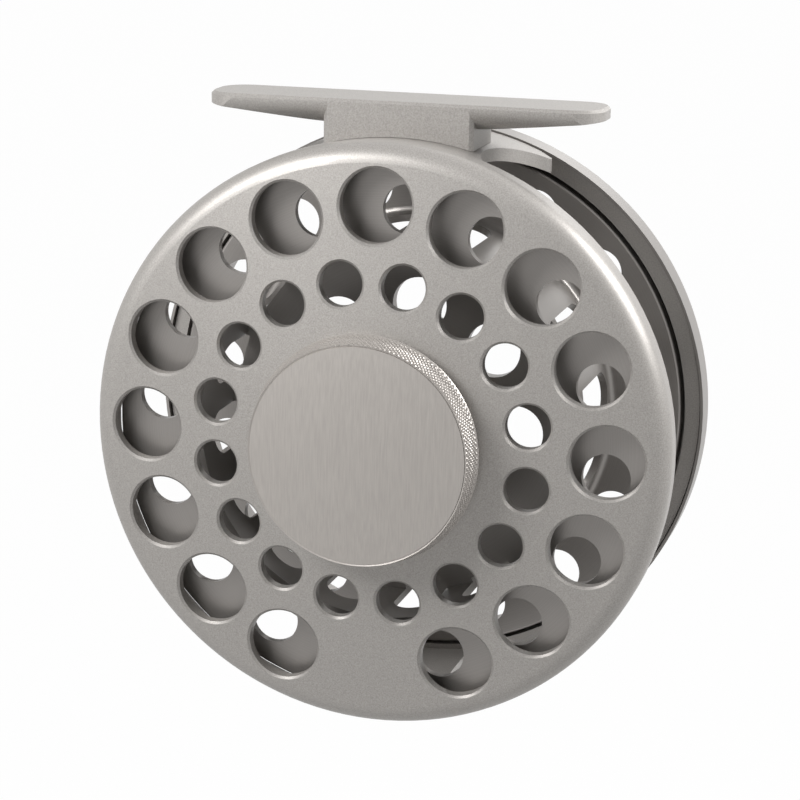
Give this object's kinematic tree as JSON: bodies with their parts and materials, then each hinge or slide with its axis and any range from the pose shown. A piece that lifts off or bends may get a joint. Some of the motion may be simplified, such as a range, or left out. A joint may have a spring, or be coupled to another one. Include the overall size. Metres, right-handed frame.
{
  "type": "fly reel",
  "caption": "Large-arbor fly reel with a perforated dished face, disc drag knob, slotted spool drum and rod foot.",
  "frame": {"origin": "middle of the foot's flat top, where the rod's reel seat clamps it", "axes": "+Z out of the foot's top, towards the rod; +Y along the spool axis towards the handle"},
  "size_m": [0.1, 0.0756, 0.1055],
  "materials": {
    "body_metal": "fine sandblasted, satin champagne grey",
    "knob_metal": "satin anodised",
    "spool_metal": "satin, fine turned",
    "steel": "ground",
    "screws": "plain",
    "brass": "machined",
    "cork": "pressed cork, greased",
    "polymer": "moulded",
    "grip": "moulded, soft sheen",
    "seal": "moulded"
  },
  "bodies": {
    "root": {"frame": "body_metal", "reel_foot": "body_metal", "foot_screws": "screws", "spindle": "steel", "knob_washer": "steel", "knob_screw": "screws", "detent_ball": "steel", "detent_spring": "steel", "wave_spring": "steel", "stator_disc": "steel", "cork_disc_front": "cork", "cork_disc_rear": "cork", "drag_housing": "body_metal", "housing_screws": "screws", "housing_seal": "seal", "pawl_pin": "steel", "pawl_spring": "steel", "bearing_inner_race": "steel"},
    "drag_dial": {"drag_knob": "knob_metal", "knob_cap": "knob_metal"},
    "drag_press": {"drag_nut": "brass", "push_pins": "steel", "pressure_plate": "steel"},
    "drag_rotor": {"drag_hub": "steel", "rotor_disc": "steel"},
    "pawl": {"click_pawl": "polymer"},
    "ball_set": {"bearing_balls": "steel", "bearing_cage": "brass"},
    "spool": {"spool": "spool_metal", "click_gear": "brass", "clutch_shell": "steel", "clutch_cage": "polymer", "clutch_rollers": "steel", "bearing_outer_race": "steel", "bearing_clip": "steel", "release_cap": "spool_metal", "cap_screws": "screws", "latch_spring": "steel", "handle_stud": "steel", "handle_washer": "steel", "handle_screw": "screws", "counterweight": "brass", "counterweight_screw": "screws"},
    "latch": {"release_latch": "steel"},
    "grip": {"handle_grip": "grip"}
  },
  "joints": [
    {"name": "spool_spin", "type": "hinge", "parent": "root", "child": "spool", "pos_m": [0, 0, -0.0555], "axis": [0, 1, 0], "continuous": true},
    {"name": "knob_turn", "type": "hinge", "parent": "root", "child": "drag_dial", "pos_m": [0, 0, -0.0555], "axis": [0, 1, 0], "range_deg": [0, 270]},
    {"name": "drag_press_slide", "type": "slide", "parent": "root", "child": "drag_press", "axis": [0, 1, 0], "range_m": [0, 0.0006]},
    {"name": "drag_slip", "type": "hinge", "parent": "root", "child": "drag_rotor", "pos_m": [0, 0, -0.0555], "axis": [0, 1, 0], "continuous": true},
    {"name": "pawl_rock", "type": "hinge", "parent": "root", "child": "pawl", "pos_m": [0, 0, -0.0416], "axis": [0, 1, 0], "range_deg": [-12, 0]},
    {"name": "ball_orbit", "type": "hinge", "parent": "root", "child": "ball_set", "pos_m": [0, 0, -0.0555], "axis": [0, 1, 0], "continuous": true},
    {"name": "latch_slide", "type": "slide", "parent": "spool", "child": "latch", "axis": [0, 0, -1], "range_m": [0, 0.003], "stiffness_N_per_m": 200, "springref_m": -0.002, "deforming": ["latch_spring"]},
    {"name": "grip_spin", "type": "hinge", "parent": "spool", "child": "grip", "pos_m": [-0.02487, 0, -0.08561], "axis": [0, 1, 0], "continuous": true}
  ],
  "couplings": [
    {"joint": "drag_press_slide", "follows": "knob_turn", "m_per_rad": 0.00012732},
    {"joint": "ball_orbit", "follows": "spool_spin", "ratio": 0.59184}
  ]
}
